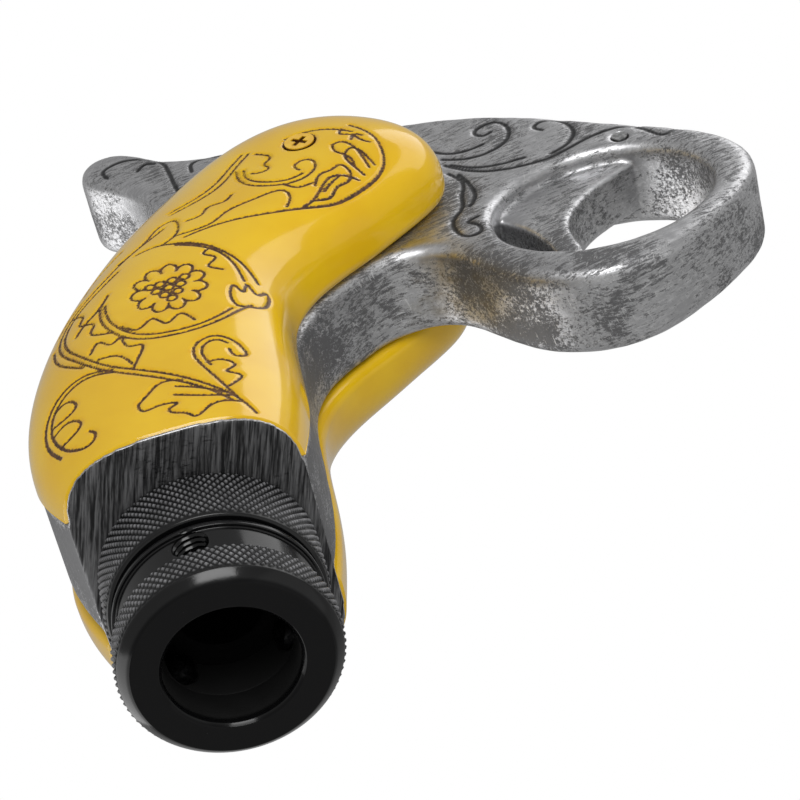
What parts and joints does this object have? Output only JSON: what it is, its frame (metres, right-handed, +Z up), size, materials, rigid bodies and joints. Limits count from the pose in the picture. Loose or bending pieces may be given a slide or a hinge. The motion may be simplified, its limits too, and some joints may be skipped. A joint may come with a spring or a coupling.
{
  "type": "gear lever knob",
  "caption": "Pistol-grip gear lever knob: cast frame with trigger guard and hammer lobe, engraved lacquered scales, and a knurled screw-on clamp collar with set screws.",
  "frame": {"origin": "centre of the clamp collar's mouth, on the lever's axis", "axes": "+Z up the lever's axis into the grip, +X to the trigger guard, +Y to the left-hand scale"},
  "size_m": [0.1134, 0.044, 0.1346],
  "materials": {
    "aged_metal": "cast, black patina rubbed back to bright metal on the edges and raised faces",
    "yellow_lacquer": "high-gloss clear lacquer over yellow, engraved lines filled brown",
    "black_anodised": "satin black anodised, diamond knurl",
    "black_steel": "black oxide",
    "plated_steel": "zinc plated",
    "brass": "turned",
    "black_rubber": "matt moulded",
    "black_nylon": "matt moulded"
  },
  "bodies": {
    "grip": {"frame": "aged_metal", "trigger": "aged_metal", "trigger_pin": "aged_metal", "right_grip_scale": "yellow_lacquer", "left_grip_scale": "yellow_lacquer", "right_scale_screw": "yellow_lacquer", "left_scale_screw": "yellow_lacquer", "scale_screw_bush": "brass", "scale_dowels": "plated_steel", "knurled_base": "black_anodised", "base_lock_pin": "plated_steel"},
    "seal": {"collar_o_ring": "black_rubber"},
    "collar": {"clamp_collar": "black_anodised", "lever_sleeve": "black_nylon"},
    "set_screw_1": {"set_screw_1": "black_steel"},
    "set_screw_2": {"set_screw_2": "black_steel"},
    "set_screw_3": {"set_screw_3": "black_steel"}
  },
  "joints": [
    {"name": "collar_advance", "type": "slide", "parent": "grip", "child": "seal", "axis": [0, 0, -1], "range_m": [0, 0.0045]},
    {"name": "collar_turn", "type": "hinge", "parent": "seal", "child": "collar", "pos_m": [0, 0, 0], "axis": [0, 0, -1], "range_deg": [0, 1080]},
    {"name": "set_screw_1_slide", "type": "slide", "parent": "collar", "child": "set_screw_1", "axis": [-0.0698, -0.9976, 0], "range_m": [-0.0008, 0.0026]},
    {"name": "set_screw_2_slide", "type": "slide", "parent": "collar", "child": "set_screw_2", "axis": [0.8988, 0.4384, 0], "range_m": [-0.0008, 0.0026]},
    {"name": "set_screw_3_slide", "type": "slide", "parent": "collar", "child": "set_screw_3", "axis": [-0.829, 0.5592, 0], "range_m": [-0.0008, 0.0026]}
  ],
  "couplings": [
    {"joint": "collar_advance", "follows": "collar_turn", "m_per_rad": 0.00023873}
  ]
}
